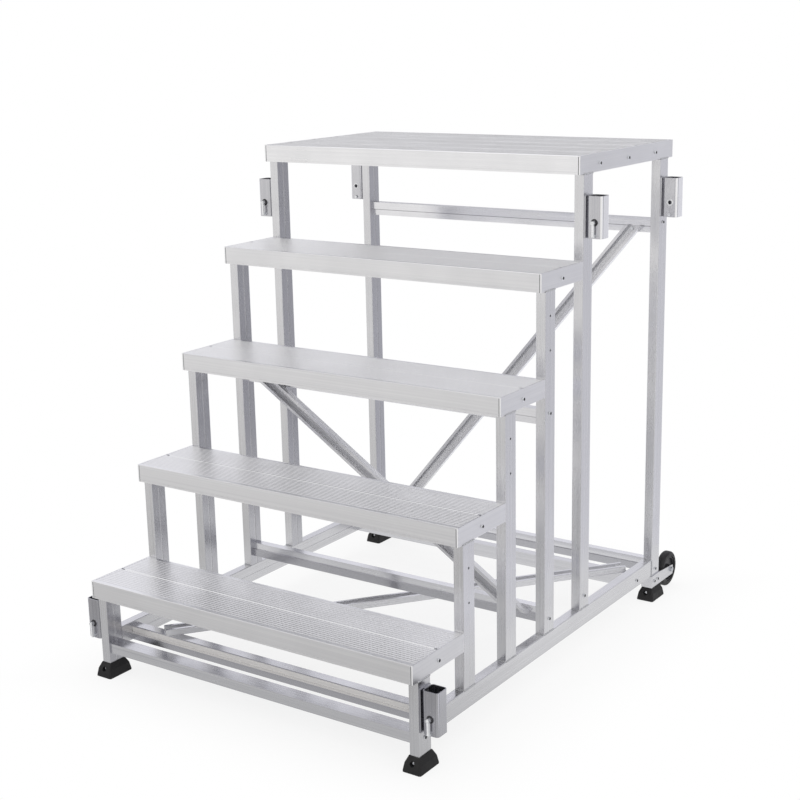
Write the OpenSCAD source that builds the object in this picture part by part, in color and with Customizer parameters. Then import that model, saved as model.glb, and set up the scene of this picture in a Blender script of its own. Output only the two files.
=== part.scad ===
// Stepped work platform in aluminium: four treads and a top platform on two welded side frames,
// with cross rails, diagonal braces, handrail sockets, rubber feet and a pair of transport wheels.
// Millimetres, +Z up, the steps climb towards +Y, the origin is on the floor under the middle.

/* [Steps] */
// Width over the outer faces of the two side frames
frame_w = 1137; // [900:1:1400]
// Height of the platform above the floor
platform_h = 1506; // [1400:1:1700]
// Height of the first tread above the floor
first_rise = 306; // [290:1:340]
// Depth from the front edge of one step to the front edge of the next
going = 220; // [180:1:300]
// Depth of the top platform
platform_d = 618; // [500:1:800]
// Height of the edge of a tread
tread_h = 53; // [45:1:70]
// Thickness of a plank's walls
plank_t = 3; // [2:0.5:4]
// Depth of the grooves between the ribs of a plank
groove_depth = 1; // [0.6:0.1:2]
// Distance from one rib of a plank to the next
rib_pitch = 10; // [7:0.5:16]
// Thickness of the caps that close the ends of the planks
cap_t = 4; // [3:0.5:6]
// Width of the cap's foot that carries the planks
cap_foot_w = 26; // [20:1:28]

/* [Side frames] */
// Width of an upright, from side to side
post_w = 30; // [26:1:40]
// Depth of an upright, from front to back
post_d = 57; // [48:1:70]
// Wall of the upright's tube
post_wall = 2.5; // [2:0.25:4]
// Radius of the upright's corners
post_corner = 2; // [1:0.5:4]
// How far an upright stands behind the front edge of its tread
post_setback = 23; // [12:1:40]
// How far the platform runs on behind the rear legs
rear_overhang = 30; // [10:1:60]
// Height of the base rails above the tops of the feet
rail_lift = 41; // [30:1:70]

/* [Cross rails] */
// Height of a cross rail
cross_h = 45; // [38:1:52]
// Depth of a cross rail
cross_d = 30; // [24:1:40]
// Wall of a cross rail
cross_wall = 2.5; // [2:0.25:4]
// How far the band that carries a brace stands back from a cross rail's front
cross_step = 4; // [2:0.5:6]
// Height of the band that stands back
cross_step_h = 21; // [14:1:24]
// Gap from the tops of the feet up to the low rail at the front
front_low_gap = 32; // [15:1:36]
// Gap from the front legs back to the base cross rail
front_base_gap = 44; // [20:1:80]
// Gap from the base rails up to the middle low rail
middle_low_gap = 31; // [24:1:60]
// Gap from the third tread down to the middle high rail
middle_high_gap = 40; // [10:1:80]
// Gap from the platform down to the rear high rail
rear_high_gap = 187; // [60:1:260]
// Gap from the rear legs forward to the rear base rail
rear_base_gap = 96; // [60:1:200]

/* [Braces] */
// Width of a brace channel
brace_w = 42; // [30:1:50]
// Depth of a brace channel
brace_d = 20; // [12:1:22]
// Wall of a brace channel
brace_t = 2.5; // [2:0.25:4]
// Width of the channel's edges that are turned in
brace_lip = 9; // [5:0.5:10]

/* [Handrail sockets] */
// Outside width of a socket tube
socket_w = 48; // [40:1:52]
// Height of a socket
socket_h = 121; // [110:1:135]
// Wall of a socket tube
socket_wall = 3; // [2.5:0.5:4]
// Outside corner radius of a socket tube
socket_corner = 9; // [5:0.5:10]
// Width of the neck that joins the tube to its base
socket_neck_w = 16; // [12:1:24]
// Thickness of the base that lies on the upright
socket_base_t = 4; // [3:0.5:6]
// Gap between the base and the tube
socket_neck_d = 4; // [3:0.5:10]
// Distance between the two screws of a socket
socket_pitch = 98; // [80:1:100]
// Distance from the platform down to the middle of a top socket
socket_drop = 121; // [90:1:140]
// Distance from the platform down to the middle of a rear socket
rear_socket_drop = 118; // [90:1:140]
// Distance from the first tread down to the middle of a front socket
front_socket_drop = 82; // [70:1:90]
// Height of the locking pin above the lower end of a socket
pin_lift = 46; // [36:1:58]
// Diameter of a locking pin
pin_d = 12; // [9:0.5:13]
// Length of a pin's drop nose, from its pivot to its tip
nose_l = 42; // [30:1:46]
// Thickness of a drop nose
nose_t = 5; // [3:0.5:7]

/* [Feet and wheels] */
// Length of a foot where it meets the floor
foot_l = 92; // [80:1:110]
// Width of a foot where it meets the floor
foot_w = 58; // [50:1:70]
// Wall of a foot round the leg, at its top
foot_wall = 2.5; // [2:0.5:5]
// Thickness of a foot under the leg
foot_floor = 8; // [5:1:14]
// Diameter of a wheel
wheel_d = 118; // [110:1:140]
// Width of a tyre
tyre_w = 26; // [18:1:28]
// Thickness of a tyre
tyre_t = 16; // [10:1:22]
// Gap from the rear leg to the wheel
wheel_gap = 30; // [6:1:45]
// Gap between the wheel and the floor
wheel_clear = 4; // [1:0.5:8]
// Height of a wheel fork's plates at the leg
fork_h = 40; // [32:1:44]
// Thickness of a wheel fork's plates
fork_t = 4; // [3:0.5:6]
// Diameter of a wheel axle
axle_d = 10; // [8:0.5:14]

/* [Hidden] */
$fn = 48;

left = -1;
right = 1;
tread_count = 4;
first_level = 0;
second_level = 1;
third_level = 2;
fourth_level = 3;
tread_planks = 2;
platform_planks_count = 5;

// Clearances and the overrun of every cut
overrun = 1;
fit = 0.2;
running_fit = 0.05;
plank_gap = 0.4;
slip = 0.3;

// Fasteners
rivet_d = 6;
rivet_head_d = 11;
rivet_head_h = 3;
rivet_eye_d = 4;
bolt_d = 6;
bolt_head_d = 11;
bolt_head_h = 4;
screw_d = 6;
screw_head_d = 11;

// Ribs of a plank
nose_border = 12;
joint_border = 6;
groove_share = 0.42;
bevel_share = 0.5;
nose_chamfer = 1.5;
joint_chamfer = 2.5;
edge_lip = 9;
bead_h = 6;
bead_gap = 1.2;
notch_l = 11;
notch_w = 6;
notch_depth = 12;

// Heights and depths, measured from the front edge of the first tread
half_w = frame_w / 2;
inner_w = half_w - post_w;
function front_edge(i) = i * going;
rise = (platform_h - first_rise) / tread_count;
function top_z(i) = first_rise + i * rise;
function under_z(i) = top_z(i) - tread_h;
function deck_d(i) = i < tread_count ? going + post_setback : platform_d;
function post_y(i) = front_edge(i) + post_setback;
rear_y = front_edge(tread_count) + platform_d - rear_overhang - post_d;
post_mid = post_d / 2;
wheel_r = wheel_d / 2;
fork_gap = 1;
axle_z = wheel_r + wheel_clear;
axle_y = rear_y + post_d + wheel_gap + wheel_r;
foot_h = axle_z - fork_h / 2 - fork_gap;
rail_z = foot_h + rail_lift;
rail_top = rail_z + post_d;
total_d = axle_y + wheel_r;

// Cross rails: depth of the front face and height of the underside
cross_inset = (post_d - cross_d) / 2;
front_low_y = post_y(first_level) + (post_d - cross_h) / 2;
front_low_z = foot_h + front_low_gap;
front_base_y = post_y(first_level) + post_d + front_base_gap;
middle_y = post_y(fourth_level) + cross_inset;
middle_low_z = rail_top + middle_low_gap;
middle_high_z = under_z(third_level) - middle_high_gap - cross_h;
rear_cross_y = rear_y + cross_inset;
rear_high_z = under_z(tread_count) - rear_high_gap - cross_h;
rear_low_lift = 8;
rear_low_z = rail_z + rear_low_lift;
rear_base_y = rear_y - rear_base_gap - cross_d;
base_cross_top = rail_z + cross_h;

// Braces: bolts in the middle of the bands that stand back, their distance from the uprights
brace_end = 14;
middle_top_inset = 108;
middle_low_inset = 83;
rear_top_inset = 69;
rear_low_inset = 74;
floor_front_inset = 140;
floor_rear_inset = 34;
low_share = 0.25;
high_share = 0.75;
mid_share = 0.5;
function high_step(z) = z + cross_step_h;
function low_step(z) = z + cross_h - cross_step_h;
middle_brace_ends = [[-inner_w + middle_top_inset, high_step(middle_high_z) - cross_step_h / 2],
    [inner_w - middle_low_inset, low_step(middle_low_z) + cross_step_h / 2]];
rear_brace_ends = [[-inner_w + rear_low_inset, low_step(rear_low_z) + cross_step_h / 2],
    [inner_w - rear_top_inset, high_step(rear_high_z) - cross_step_h / 2]];
floor_brace_ends = [[-inner_w + floor_front_inset, front_base_y + cross_d / 2],
    [inner_w - floor_rear_inset, rear_base_y + cross_d / 2]];

// Sockets: depth of their middle and height of their lower end
socket_x = half_w + socket_base_t + socket_neck_d + socket_w / 2;
socket_half = socket_w / 2;
front_socket_y = post_y(first_level) + post_mid;
top_socket_y = post_y(tread_count) + post_mid;
rear_socket_y = rear_y + post_mid;
front_socket_z = under_z(first_level) - front_socket_drop - socket_h / 2;
top_socket_z = under_z(tread_count) - socket_drop - socket_h / 2;
rear_socket_z = under_z(tread_count) - rear_socket_drop - socket_h / 2;
socket_places = [[front_socket_y, front_socket_z], [top_socket_y, top_socket_z],
    [rear_socket_y, rear_socket_z]];
stop_lift = 8;

// Locking pins
pin_r = pin_d / 2;
pin_head_d = 20;
pin_head_h = 5;
pivot_d = 3;
nose_reach = 9;
pin_tip = nose_reach + pin_r - pivot_d / 2;
fork_root = 2.5;
slot_w = nose_t + 2 * slip;
nose_relief = 2;
nose_w = pin_d - nose_relief;
nose_tip_share = 0.8;
nose_bar_share = 0.85;

// Rivets on the outer face of the right side frame, as depth and height
post_rivets_1 = [[post_y(first_level) + post_mid, front_low_z + cross_d / 2]];
post_rivets_4 = [[post_y(fourth_level) + post_mid, middle_low_z + cross_h * low_share],
    [post_y(fourth_level) + post_mid, middle_high_z + cross_h * high_share]];
spigot_lift = 39;
post_rivets_5 = [[post_y(tread_count) + post_mid, rail_top + spigot_lift]];
rear_leg_rivets = [[rear_y + post_mid, rear_high_z + cross_h * high_share],
    [rear_y + post_mid, rear_low_z + cross_h * low_share]];
rail_rivets = [for (y = [front_base_y, rear_base_y]) [y + cross_d / 2, rail_z + cross_h / 2]];
cap_rivet_drop = 30;
end_margin_share = 0.2;
function cap_rivets(i) = i < tread_count
    ? [front_edge(i) + deck_d(i) / 2]
    : [for (s = [end_margin_share, mid_share, 1 - end_margin_share]) front_edge(i) + deck_d(i) * s];
foot_rivet_z = (foot_h + foot_floor) / 2;
foot_bore_d = 14;
foot_face_t = 3;
fork_rivet_share = 0.27;

// The spare screw holes of the uprights that carry no socket
function spare_holes(i) = [for (s = [-1, 1]) under_z(i) - socket_drop + s * socket_pitch / 2];

// Colours
bare_aluminium = "#c8c8cc";
ribbed_aluminium = "#cfcfd2";
dull_aluminium = "#b4b4b8";
black_rubber = "#1b1b1d";
zinc_steel = "#a9adb3";

// Shifts a piece from the front edge of the first tread to the middle of the floor plan
module in_place() {
    translate([0, -total_d / 2, 0]) children();
}

// Puts a piece that is drawn on the right side on the wanted side
module on_side(side) {
    mirror([side == left ? 1 : 0, 0, 0]) children();
}

// Runs a profile of depth and height along the width, centred
module along_x(length) {
    translate([-length / 2, 0, 0]) rotate([90, 0, 90]) linear_extrude(length) children();
}

// A cylinder that points to +X from the origin
module x_cylinder(length, d) {
    rotate([0, 90, 0]) cylinder(h = length, d = d);
}

// A cylinder that points to +Y from the origin
module y_cylinder(length, d) {
    rotate([-90, 0, 0]) cylinder(h = length, d = d);
}

// Rectangle with round corners, centred
module round_rect(w, d, r) {
    square([w - 2 * r, d], center = true);
    square([w, d - 2 * r], center = true);
    for (sx = [-1, 1], sy = [-1, 1])
        translate([sx * (w / 2 - r), sy * (d / 2 - r)]) circle(r);
}

// Tube of the uprights and base rails, with a shallow groove down the inner face
groove_w = 5;
tube_groove_share = 0.35;
module frame_tube() {
    difference() {
        round_rect(post_w, post_d, post_corner);
        square([post_w - 2 * post_wall, post_d - 2 * post_wall], center = true);
        translate([-post_w / 2, 0])
            square([2 * post_wall * tube_groove_share, groove_w], center = true);
    }
}

// Hole through the outer wall of a side frame, from the outside
module wall_hole(y, z, d) {
    translate([half_w - post_wall - overrun, y, z]) x_cylinder(post_wall + 2 * overrun, d);
}

// Upright of the right side frame, from one height to another, with its holes
module upright(y, low, high, rivet_places = [], screw_places = []) {
    color(bare_aluminium) difference() {
        translate([half_w - post_w / 2, y + post_mid, low]) linear_extrude(high - low) frame_tube();
        for (p = rivet_places) wall_hole(p[0], p[1], rivet_d + 2 * fit);
        for (z = screw_places) wall_hole(y + post_mid, z, screw_d + 2 * fit);
    }
}

function screw_heights(low) = [for (s = [-1, 1]) low + socket_h / 2 + s * socket_pitch / 2];

// Hole through the front wall of a leg for the rivet of its foot
module foot_rivet_hole(y) {
    translate([half_w - post_w / 2, y - overrun, foot_rivet_z])
        y_cylinder(post_wall + 2 * overrun, rivet_d + 2 * fit);
}

// Holes through both side walls of a rear leg for the wheel fork's rivets
module fork_rivet_holes() {
    for (s = [fork_rivet_share, 1 - fork_rivet_share])
        translate([half_w - post_w - overrun, rear_y + post_d * s, axle_z])
            x_cylinder(post_w + 2 * overrun, rivet_d + 2 * fit);
}

module front_leg(side) {
    in_place() on_side(side) difference() {
        upright(post_y(first_level), foot_floor, under_z(first_level), post_rivets_1,
            screw_heights(front_socket_z));
        foot_rivet_hole(post_y(first_level));
    }
}

module post_2(side) {
    in_place() on_side(side) upright(post_y(second_level), rail_top, under_z(second_level),
        [], spare_holes(second_level));
}

module post_3(side) {
    in_place() on_side(side) upright(post_y(third_level), rail_top, under_z(third_level),
        [], spare_holes(third_level));
}

module post_4(side) {
    in_place() on_side(side) upright(post_y(fourth_level), rail_top, under_z(fourth_level),
        post_rivets_4, spare_holes(fourth_level));
}

module post_5(side) {
    in_place() on_side(side)
        upright(post_y(tread_count), rail_top, under_z(tread_count), post_rivets_5,
            screw_heights(top_socket_z));
}

module rear_leg(side) {
    in_place() on_side(side) difference() {
        upright(rear_y, foot_floor, under_z(tread_count), rear_leg_rivets,
            screw_heights(rear_socket_z));
        foot_rivet_hole(rear_y);
        fork_rivet_holes();
    }
}

// Rail on the floor side of a frame, from the front leg to the rear leg
module base_rail(side) {
    length = rear_y - post_y(first_level) - post_d;
    in_place() on_side(side) color(bare_aluminium) difference() {
        translate([half_w - post_w / 2, post_y(first_level) + post_d, rail_z + post_mid])
            rotate([-90, 0, 0]) linear_extrude(length) frame_tube();
        for (p = rail_rivets) wall_hole(p[0], p[1], rivet_d + 2 * fit);
    }
}

// Outline of a plank's ribbed top, from front to rear
function ribbed_top(w, front_border, rear_border) =
    let (count = floor((w - front_border - rear_border) / rib_pitch),
        pitch = (w - front_border - rear_border) / count,
        groove = pitch * groove_share,
        bevel = groove_depth * bevel_share)
    [for (k = [0 : count - 1])
        let (start = front_border + k * pitch + (pitch - groove) / 2)
        for (p = [[start, 0], [start + bevel, -groove_depth],
            [start + groove - bevel, -groove_depth], [start + groove, 0]]) p];

// Lower outline of a plank's edge, drawn from the outside to the inside at y = 0
function plank_edge(outer, skin, web) = outer
    ? [[0, -nose_chamfer], [0, bead_gap + bead_h - tread_h], [bead_gap, bead_gap + bead_h - tread_h],
        [bead_gap, bead_h - tread_h], [0, bead_h - tread_h], [0, -tread_h], [plank_t + edge_lip, -tread_h],
        [plank_t + edge_lip, -tread_h + plank_t], [plank_t, -tread_h + plank_t], [plank_t, -skin]]
    : [[0, -joint_chamfer], [0, -web], [plank_t, -web], [plank_t, -skin]];

function turned(points) = [for (i = [len(points) - 1 : -1 : 0]) points[i]];

function mirrored(points, w) = turned([for (p = points) [w - p[0], p[1]]]);

// Section of a plank: ribbed top, webs that stand on the caps' feet, and an edge where it has one
module plank_section(w, front, rear) {
    skin = plank_t + groove_depth;
    web = tread_h - cap_t;
    front_side = plank_edge(front, skin, web);
    rear_side = plank_edge(rear, skin, web);
    front_corner = [front ? nose_chamfer : joint_chamfer, 0];
    rear_corner = [w - (rear ? nose_chamfer : joint_chamfer), 0];
    middle = [[w / 2 - plank_t / 2, -skin], [w / 2 - plank_t / 2, -web],
        [w / 2 + plank_t / 2, -web], [w / 2 + plank_t / 2, -skin]];
    polygon(concat(ribbed_top(w, front ? nose_border : joint_border, rear ? nose_border : joint_border),
        [rear_corner], turned(mirrored(rear_side, w)), turned(middle), turned(front_side),
        [front_corner]));
}

// The planks of one level, side by side between the end caps, with a notch at each end of a joint
module planks(i, count) {
    w = deck_d(i) / count;
    length = frame_w - 2 * cap_t;
    in_place() color(ribbed_aluminium) translate([0, front_edge(i), top_z(i)]) difference() {
        for (k = [0 : count - 1]) {
            start = k == 0 ? 0 : plank_gap / 2;
            end = k == count - 1 ? w : w - plank_gap / 2;
            translate([0, k * w + start, 0])
                along_x(length) plank_section(end - start, k == 0, k == count - 1);
        }
        for (k = [1 : count - 1], side = [left, right])
            translate([side * length / 2, k * w, 0])
                cube([2 * notch_l, notch_w, 2 * notch_depth], center = true);
    }
}

// The two caps that close the ends of a level's planks and carry them on a foot
module end_caps(i) {
    inset = plank_t + edge_lip + fit;
    in_place() color(bare_aluminium)
        for (side = [left, right]) on_side(side) difference() {
            translate([half_w, front_edge(i), under_z(i)]) {
                translate([-cap_t, 0, 0]) cube([cap_t, deck_d(i), tread_h]);
                translate([-cap_t - cap_foot_w, inset, 0])
                    cube([cap_t + cap_foot_w, deck_d(i) - 2 * inset, cap_t]);
            }
            for (y = cap_rivets(i))
                translate([half_w - cap_t - overrun, y, top_z(i) - cap_rivet_drop])
                    x_cylinder(cap_t + 2 * overrun, rivet_d + 2 * fit);
        }
}

// Hollow section of a cross rail, its front stepped back below, at its lower front corner
module cross_section() {
    t = cross_wall;
    difference() {
        polygon([[cross_step, 0], [cross_d, 0], [cross_d, cross_h], [0, cross_h],
            [0, cross_step_h], [cross_step, cross_step_h]]);
        polygon([[cross_step + t, t], [cross_d - t, t], [cross_d - t, cross_h - t], [t, cross_h - t],
            [t, cross_step_h + t], [cross_step + t, cross_step_h + t]]);
    }
}

// High cross rail: the band that carries the brace is its lower one
module high_rail(y, z) {
    color(dull_aluminium) translate([0, y, z]) along_x(2 * inner_w) cross_section();
}

// Low cross rail: the same section turned over
module low_rail(y, z) {
    translate([0, 0, 2 * z + cross_h]) mirror([0, 0, 1]) high_rail(y, z);
}

// Plain hollow cross rail of a given depth and height
module plain_rail(y, z, depth, height) {
    t = cross_wall;
    color(bare_aluminium) translate([0, y, z]) along_x(2 * inner_w) difference() {
        square([depth, height]);
        translate([t, t]) square([depth - 2 * t, height - 2 * t]);
    }
}

// Hole for a brace's bolt through the front wall of a cross rail
module front_bolt_hole(end, y) {
    translate([end[0], y + cross_step - overrun, end[1]])
        y_cylinder(cross_wall + 2 * overrun, bolt_d + 2 * fit);
}

// Hole for a brace's bolt through the top wall of a base cross rail
module top_bolt_hole(end) {
    translate([end[0], end[1], base_cross_top - cross_wall - overrun])
        cylinder(h = cross_wall + 2 * overrun, d = bolt_d + 2 * fit);
}

module front_low_rail() {
    in_place() plain_rail(front_low_y, front_low_z, cross_h, cross_d);
}

module front_base_rail() {
    in_place() difference() {
        plain_rail(front_base_y, rail_z, cross_d, cross_h);
        top_bolt_hole(floor_brace_ends[0]);
    }
}

module middle_low_rail() {
    in_place() difference() {
        low_rail(middle_y, middle_low_z);
        front_bolt_hole(middle_brace_ends[1], middle_y);
    }
}

module middle_high_rail() {
    in_place() difference() {
        high_rail(middle_y, middle_high_z);
        front_bolt_hole(middle_brace_ends[0], middle_y);
    }
}

module rear_high_rail() {
    in_place() difference() {
        high_rail(rear_cross_y, rear_high_z);
        front_bolt_hole(rear_brace_ends[1], rear_cross_y);
    }
}

module rear_low_rail() {
    in_place() difference() {
        low_rail(rear_cross_y, rear_low_z);
        front_bolt_hole(rear_brace_ends[0], rear_cross_y);
    }
}

module rear_base_rail() {
    in_place() difference() {
        plain_rail(rear_base_y, rail_z, cross_d, cross_h);
        top_bolt_hole(floor_brace_ends[1]);
    }
}

// Channel of a brace with its edges turned in and its back at height 0, from one bolt along +X
// to the other and past both
module brace_channel(span, tail) {
    w = brace_w / 2;
    d = brace_d;
    t = brace_t;
    lip = w - brace_lip;
    difference() {
        translate([-tail, 0, 0]) rotate([90, 0, 90]) linear_extrude(span + 2 * tail)
            polygon([[-w, 0], [w, 0], [w, d], [lip, d], [lip, d - t], [w - t, d - t], [w - t, t],
                [t - w, t], [t - w, d - t], [-lip, d - t], [-lip, d], [-w, d]]);
        for (x = [0, span])
            translate([x, 0, -overrun]) cylinder(h = t + 2 * overrun, d = bolt_d + 2 * fit);
    }
}

// Brace on the bands of two rails, open to the front, its ends cut level with the rails' steps
module upright_brace(ends, y, low, high) {
    run = ends[1] - ends[0];
    slope = atan2(run[1], run[0]);
    tail = (cross_step_h + brace_w) / (2 * abs(sin(slope)));
    color(bare_aluminium) difference() {
        translate([ends[0][0], y + cross_step, ends[0][1]]) rotate([0, -slope, 0]) rotate([90, 0, 0])
            brace_channel(norm(run), tail);
        translate([-half_w, y - brace_d, low + fit - brace_w])
            cube([frame_w, 2 * brace_d, brace_w]);
        translate([-half_w, y - brace_d, high - fit]) cube([frame_w, 2 * brace_d, brace_w]);
    }
}

module middle_brace() {
    in_place() upright_brace(middle_brace_ends, middle_y, low_step(middle_low_z),
        high_step(middle_high_z));
}

module rear_brace() {
    in_place() upright_brace(rear_brace_ends, rear_cross_y, low_step(rear_low_z),
        high_step(rear_high_z));
}

module floor_brace() {
    start = floor_brace_ends[0];
    run = floor_brace_ends[1] - start;
    in_place() color(bare_aluminium) translate([start[0], start[1], base_cross_top])
        rotate([0, 0, atan2(run[1], run[0])]) brace_channel(norm(run), brace_end);
}

// Flared rubber shoe with a pocket for the leg and a recess for its rivet
foot_corner = 6;
foot_sole = 4;
foot_top_corner = 2;
foot_top_t = 1;
foot_waist_share = 0.55;
foot_flare_share = 0.72;
module foot(side, y) {
    top_w = post_w + 2 * foot_wall;
    top_l = post_d + 2 * foot_wall;
    in_place() on_side(side) translate([half_w - post_w / 2, y + post_mid, 0])
        color(black_rubber) difference() {
            hull() {
                linear_extrude(foot_sole) round_rect(foot_w, foot_l, foot_corner, $fn = 32);
                translate([0, 0, foot_h * foot_waist_share]) linear_extrude(foot_top_t)
                    round_rect(top_w + (foot_w - top_w) * foot_flare_share,
                        top_l + (foot_l - top_l) * foot_flare_share, foot_corner, $fn = 32);
                translate([0, 0, foot_h - foot_top_t]) linear_extrude(foot_top_t)
                    round_rect(top_w, top_l, foot_top_corner, $fn = 32);
            }
            translate([-post_w / 2 - fit, -post_d / 2 - fit, foot_floor])
                cube([post_w + 2 * fit, post_d + 2 * fit, foot_h]);
            translate([0, -foot_l, foot_rivet_z])
                y_cylinder(foot_l - post_d / 2 - foot_face_t, foot_bore_d);
            translate([0, -foot_l / 2, foot_rivet_z]) y_cylinder(foot_l / 2, rivet_d + 2 * fit);
        }
}

// Section of a handrail socket: base on the upright, neck and tube, from the upright outwards
module socket_section() {
    inside = socket_w - 2 * socket_wall;
    translate([0, -socket_half]) square([socket_base_t, socket_w]);
    translate([0, -socket_neck_w / 2])
        square([socket_base_t + socket_neck_d + socket_wall, socket_neck_w]);
    translate([socket_x - half_w, 0]) difference() {
        round_rect(socket_w, socket_w, socket_corner);
        round_rect(inside, inside, socket_corner - socket_wall);
    }
}

module socket(side, y, z) {
    in_place() on_side(side) color(bare_aluminium) translate([half_w, y, z]) difference() {
        linear_extrude(socket_h) socket_section();
        translate([socket_x - half_w, -socket_w, pin_lift]) y_cylinder(2 * socket_w, pin_d + 2 * fit);
        translate([socket_x - half_w, -socket_w, stop_lift]) y_cylinder(2 * socket_w, bolt_d + 2 * fit);
        for (s = [-1, 1])
            translate([-overrun, 0, socket_h / 2 + s * socket_pitch / 2]) {
                x_cylinder(socket_w / 2, screw_d + 2 * fit);
                translate([overrun + socket_base_t + socket_neck_d, 0, 0])
                    x_cylinder(socket_wall + overrun, screw_head_d + 2 * fit);
            }
    }
}

// Places of the locking pins: side, depth and height of the pin's axis
pin_places = [[left, front_socket_y, front_socket_z + pin_lift],
    [right, front_socket_y, front_socket_z + pin_lift],
    [left, top_socket_y, top_socket_z + pin_lift],
    [right, top_socket_y, top_socket_z + pin_lift]];

// Moves to the pivot of a pin's nose, in front of its socket
module at_pivot(place) {
    in_place() on_side(place[0])
        translate([socket_x, place[1] - socket_half - nose_reach, place[2]]) children();
}

// Pin through a socket, with a head behind and a fork for its nose in front
module locking_pin() {
    difference() {
        union() {
            translate([0, nose_reach - pin_tip, 0]) y_cylinder(pin_tip + socket_w, pin_d);
            translate([0, nose_reach + socket_w, 0]) y_cylinder(pin_head_h, pin_head_d);
        }
        translate([-slot_w / 2, nose_reach - pin_tip - overrun, -pin_d])
            cube([slot_w, pin_tip - fork_root + overrun, 2 * pin_d]);
        translate([-pin_d, 0, 0]) x_cylinder(2 * pin_d, pivot_d + 2 * running_fit);
    }
}

module locking_pins() {
    color(zinc_steel) for (p = pin_places) at_pivot(p) locking_pin();
}

// Cross pin that the nose turns on, as long as the fork is wide there
module nose_pivots() {
    color(zinc_steel) for (p = pin_places) at_pivot(p)
        translate([-nose_w / 2, 0, 0]) x_cylinder(nose_w, pivot_d);
}

// Drop nose that hangs in the pin's fork: round at the pivot, a tapered bar with a round tip
module nose(place) {
    tip_r = nose_w * nose_tip_share / 2;
    top = nose_w * nose_bar_share / 2;
    low = tip_r * nose_bar_share;
    at_pivot(place) color(zinc_steel) rotate([90, 0, 90]) translate([0, 0, -nose_t / 2])
        linear_extrude(nose_t) difference() {
            union() {
                circle(d = nose_w);
                translate([0, -nose_l + tip_r]) circle(tip_r);
                polygon([[-low, -nose_l + tip_r], [low, -nose_l + tip_r], [top, 0], [-top, 0]]);
            }
            circle(d = pivot_d + 2 * running_fit);
        }
}

// Side plate of a wheel fork, lower towards the wheel, with round corners behind the axle
fork_end_share = 0.8;
fork_corner = 4;
fork_past_axle = 16;
module fork_plate(x) {
    length = axle_y - rear_y + fork_past_axle;
    low = -fork_h / 2;
    end_h = fork_h * fork_end_share;
    r = fork_corner;
    translate([x, rear_y, axle_z]) rotate([90, 0, 90]) linear_extrude(fork_t) difference() {
        union() {
            polygon([[-fork_t, low], [length - r, low], [length - r, low + end_h], [post_d, low + fork_h],
                [-fork_t, low + fork_h]]);
            translate([length - 2 * r, low + r]) square([2 * r, end_h - 2 * r]);
            for (z = [low + r, low + end_h - r]) translate([length - r, z]) circle(r);
        }
        translate([axle_y - rear_y, 0]) circle(d = axle_d + 2 * fit);
        for (s = [fork_rivet_share, 1 - fork_rivet_share])
            translate([post_d * s, 0]) circle(d = rivet_d + 2 * fit);
    }
}

// Fork round a rear leg: two plates and the strap that joins them in front of the leg
module wheel_forks() {
    low = axle_z - fork_h / 2;
    strap_h = min(fork_h, rail_z - fork_gap - low);
    in_place() color(bare_aluminium) for (side = [left, right]) on_side(side) {
        fork_plate(half_w);
        fork_plate(half_w - post_w - fork_t);
        translate([half_w - post_w - fork_t, rear_y - fork_t, low])
            cube([post_w + 2 * fork_t, fork_t, strap_h]);
    }
}

// Axle bolt with a hexagon head outside and a nut inside
axle_head_h = 6;
axle_head_d = 18;
nut_h = 8;
module wheel_axles() {
    in_place() color(zinc_steel) for (side = [left, right]) on_side(side)
        translate([half_w - post_w - fork_t, axle_y, axle_z]) {
            x_cylinder(post_w + 2 * fork_t, axle_d);
            translate([-nut_h, 0, 0]) rotate([0, 90, 0]) cylinder(h = nut_h, d = axle_head_d, $fn = 6);
            translate([post_w + 2 * fork_t, 0, 0]) rotate([0, 90, 0])
                cylinder(h = axle_head_h, d = axle_head_d, $fn = 6);
        }
}

// Hub of a wheel: boss, thin web and rim, turned round its bore
hub_play = 0.4;
hub_boss_d = 30;
hub_web_share = 0.35;
rim_t = 5;
rim_w_share = 0.8;
module wheel_hub(side) {
    bore = axle_d / 2 + running_fit;
    boss = post_w / 2 - hub_play;
    rim = wheel_r - tyre_t;
    web = tyre_w * hub_web_share / 2;
    edge = tyre_w * rim_w_share / 2;
    in_place() on_side(side) translate([half_w - post_w / 2, axle_y, axle_z]) rotate([0, 90, 0])
        color(black_rubber) rotate_extrude() polygon([[bore, -boss], [hub_boss_d / 2, -boss],
            [hub_boss_d / 2, -web], [rim - rim_t, -web], [rim - rim_t, -edge], [rim, -edge],
            [rim, edge], [rim - rim_t, edge], [rim - rim_t, web], [hub_boss_d / 2, web],
            [hub_boss_d / 2, boss], [bore, boss]]);
}

// Tyre on the hub's rim, with rounded shoulders
shoulder_share = 0.3;
module wheel_tyre(side) {
    shoulder = tyre_w * shoulder_share;
    rim = wheel_r - tyre_t;
    in_place() on_side(side) translate([half_w - post_w / 2, axle_y, axle_z]) rotate([0, 90, 0])
        color(black_rubber) rotate_extrude() union() {
            translate([rim, -tyre_w / 2]) square([tyre_t - shoulder, tyre_w]);
            translate([rim, -tyre_w / 2 + shoulder]) square([tyre_t, tyre_w - 2 * shoulder]);
            for (s = [-1, 1])
                translate([wheel_r - shoulder, s * (tyre_w / 2 - shoulder)]) circle(shoulder);
        }
}

// Blind rivet that points to +X: shank through a wall, low head outside with an eye
head_top_share = 0.6;
module rivet(grip) {
    difference() {
        union() {
            translate([-grip, 0, 0]) x_cylinder(grip, rivet_d);
            x_cylinder(rivet_head_h / 2, rivet_head_d);
            translate([rivet_head_h / 2, 0, 0]) rotate([0, 90, 0])
                cylinder(h = rivet_head_h / 2, d1 = rivet_head_d, d2 = rivet_head_d * head_top_share);
        }
        translate([rivet_head_h / 2, 0, 0]) x_cylinder(rivet_head_h, rivet_eye_d);
    }
}

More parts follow.
